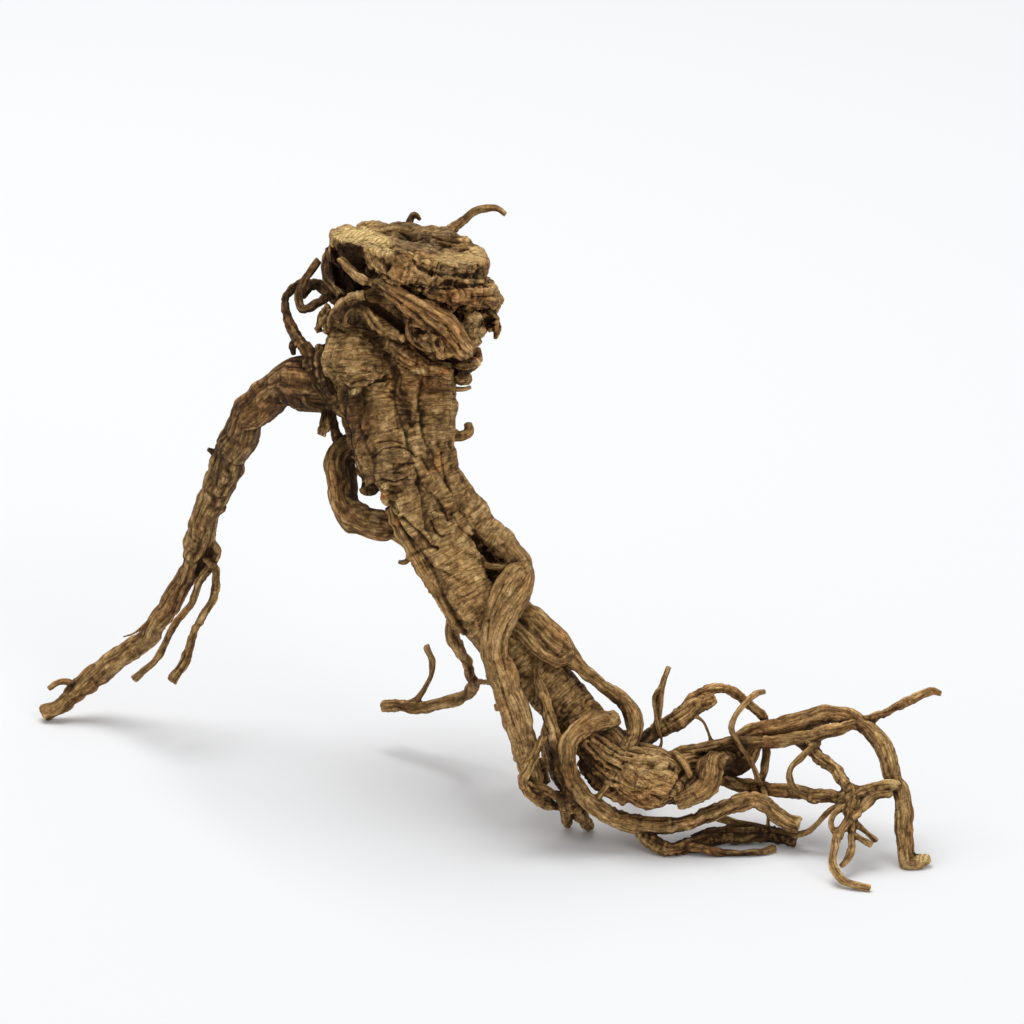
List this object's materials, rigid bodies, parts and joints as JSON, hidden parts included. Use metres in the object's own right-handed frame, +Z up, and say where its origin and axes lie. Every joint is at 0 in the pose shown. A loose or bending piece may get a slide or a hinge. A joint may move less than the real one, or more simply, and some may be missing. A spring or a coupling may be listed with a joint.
{
  "type": "valerian root",
  "caption": "Dried valerian root with its cut crown: a stout wrinkled taproot, one long side root as a prop, and a tangle of curling rootlets.",
  "frame": {"origin": "on the ground, at the middle of the footprint of the root as it lies", "axes": "+X towards the tangle of rootlets, -Y towards the viewer, +Z up through the cut crown"},
  "size_m": [0.2334, 0.1151, 0.1455],
  "materials": {
    "root_bark": "rough, wrinkled, matt"
  },
  "bodies": {
    "root": {"valerian_root": "root_bark"}
  },
  "joints": []
}
